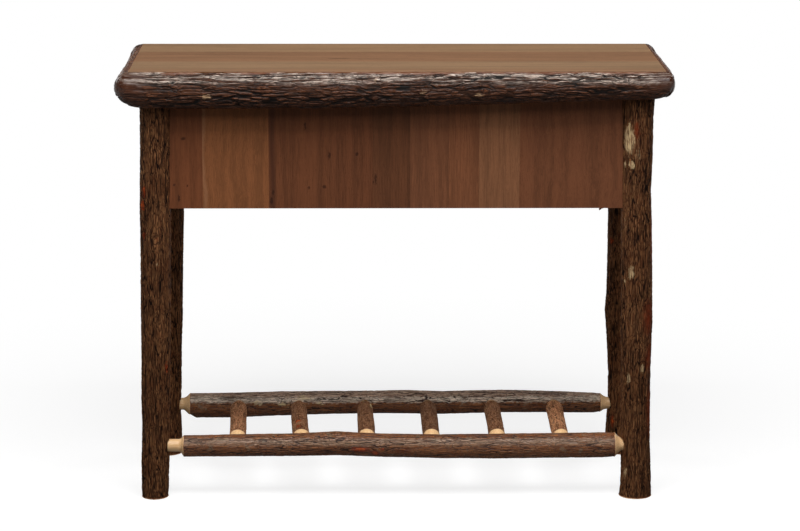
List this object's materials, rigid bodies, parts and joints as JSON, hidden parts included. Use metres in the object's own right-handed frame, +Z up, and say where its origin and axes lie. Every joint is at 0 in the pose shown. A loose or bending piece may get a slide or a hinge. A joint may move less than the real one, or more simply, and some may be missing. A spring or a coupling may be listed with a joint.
{
  "type": "rustic hickory table",
  "caption": "Narrow rustic table with bark-on pole legs, plain walnut aprons, a walnut top with a half-log bark edge, and a low rack of poles and rungs.",
  "frame": {"origin": "on the floor, under the middle of the walnut field of the top", "axes": "+X along the length, to the right as seen from the front; +Y to the back; +Z up"},
  "size_m": [1.0934, 0.4564, 0.865],
  "materials": {
    "walnut_top": "satin lacquer",
    "walnut_apron": "satin lacquer",
    "hickory_bark": "lacquered bark",
    "hickory_bark_edge": "lacquered bark",
    "cleat_wood": "bare wood",
    "dowel_wood": "bare wood",
    "screw_steel": "zinc plated"
  },
  "bodies": {
    "root": {"top_board_1": "walnut_top", "top_board_2": "walnut_top", "top_board_3": "walnut_top", "top_board_4": "walnut_top", "top_edge_front": "hickory_bark_edge", "top_edge_right": "hickory_bark_edge", "top_edge_back": "hickory_bark_edge", "top_edge_left": "hickory_bark_edge", "leg_front_left": "hickory_bark", "leg_front_right": "hickory_bark", "leg_back_left": "hickory_bark", "leg_back_right": "hickory_bark", "apron_front_board_1": "walnut_apron", "apron_front_board_2": "walnut_apron", "apron_front_board_3": "walnut_apron", "apron_front_board_4": "walnut_apron", "apron_front_board_5": "walnut_apron", "apron_front_board_6": "walnut_apron", "apron_front_board_7": "walnut_apron", "apron_front_board_8": "walnut_apron", "apron_front_board_9": "walnut_apron", "apron_back_board_1": "walnut_apron", "apron_back_board_2": "walnut_apron", "apron_back_board_3": "walnut_apron", "apron_back_board_4": "walnut_apron", "apron_back_board_5": "walnut_apron", "apron_back_board_6": "walnut_apron", "apron_back_board_7": "walnut_apron", "apron_back_board_8": "walnut_apron", "apron_left_board_1": "walnut_apron", "apron_left_board_2": "walnut_apron", "apron_left_board_3": "walnut_apron", "apron_right_board_1": "walnut_apron", "apron_right_board_2": "walnut_apron", "apron_right_board_3": "walnut_apron", "top_cleat_front": "cleat_wood", "top_cleat_back": "cleat_wood", "top_cleat_left": "cleat_wood", "top_cleat_right": "cleat_wood", "stretcher_front": "hickory_bark", "stretcher_back": "hickory_bark", "rung_1": "hickory_bark", "rung_2": "hickory_bark", "rung_3": "hickory_bark", "rung_4": "hickory_bark", "rung_5": "hickory_bark", "rung_6": "hickory_bark", "cleat_screws": "screw_steel", "top_screws": "screw_steel", "edge_dowels": "dowel_wood"}
  },
  "joints": []
}
